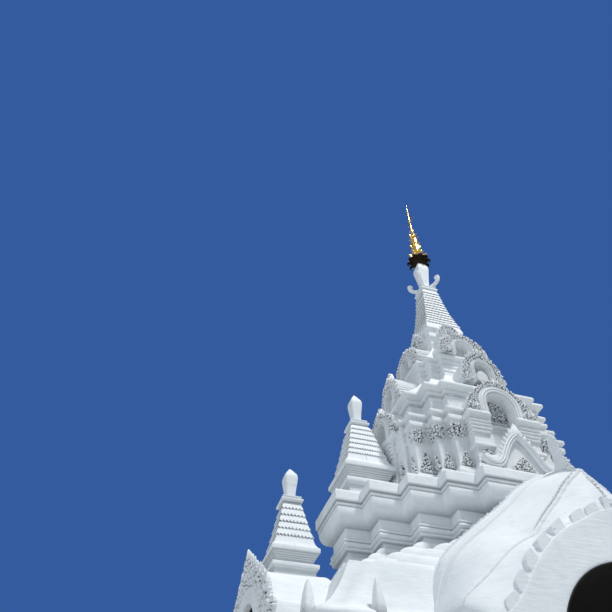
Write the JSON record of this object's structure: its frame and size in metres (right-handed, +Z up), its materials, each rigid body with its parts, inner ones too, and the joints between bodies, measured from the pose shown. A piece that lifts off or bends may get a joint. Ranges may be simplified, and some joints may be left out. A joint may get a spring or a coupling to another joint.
{
  "type": "temple gate tower",
  "caption": "White stuccoed temple gate tower: arched passage, side wings with turrets, stepped cornice, tiers of arched gables, scale-tiled spire and gilded finial.",
  "frame": {"origin": "centre of the plinth's underside, on the ground", "axes": "+Z up along the tower; -Y towards the viewer, out of the main doorway; +X to the right when facing the main doorway"},
  "size_m": [6.69, 5.24, 13.6],
  "materials": {
    "stucco": "white limewashed stucco, matt",
    "paving": "worn stone paving, matt",
    "gilding": "gilded metal, polished"
  },
  "bodies": {
    "root": {"body_cornice": "stucco", "cornice_turret_left": "stucco", "cornice_turret_right": "stucco", "courses": "stucco", "end_wall_left": "stucco", "end_wall_right": "stucco", "finial_rings": "gilding", "finial_spike": "gilding", "floor": "paving", "fourth_tier": "stucco", "great_cornice": "stucco", "hall_wall_back_left": "stucco", "hall_wall_back_right": "stucco", "hall_wall_front_left": "stucco", "hall_wall_front_right": "stucco", "lotus_bud": "stucco", "niche_frame_back": "stucco", "niche_frame_front": "stucco", "plinth": "stucco", "porch_arch_back": "stucco", "porch_arch_front": "stucco", "porch_roof_back": "stucco", "porch_roof_front": "stucco", "porch_side_wall_back_left": "stucco", "porch_side_wall_back_right": "stucco", "porch_side_wall_front_left": "stucco", "porch_side_wall_front_right": "stucco", "second_tier": "stucco", "skirt_roof_back_left": "stucco", "skirt_roof_back_right": "stucco", "skirt_roof_front_left": "stucco", "skirt_roof_front_right": "stucco", "spire_roof": "stucco", "third_tier": "stucco", "upper_body": "stucco", "window_jamb_back_left": "stucco", "window_jamb_back_right": "stucco", "window_jamb_front_left": "stucco", "window_jamb_front_right": "stucco", "wing_arch_left": "stucco", "wing_arch_right": "stucco", "wing_roof_left": "stucco", "wing_roof_right": "stucco", "wing_turret_left": "stucco", "wing_turret_right": "stucco"}
  },
  "joints": []
}
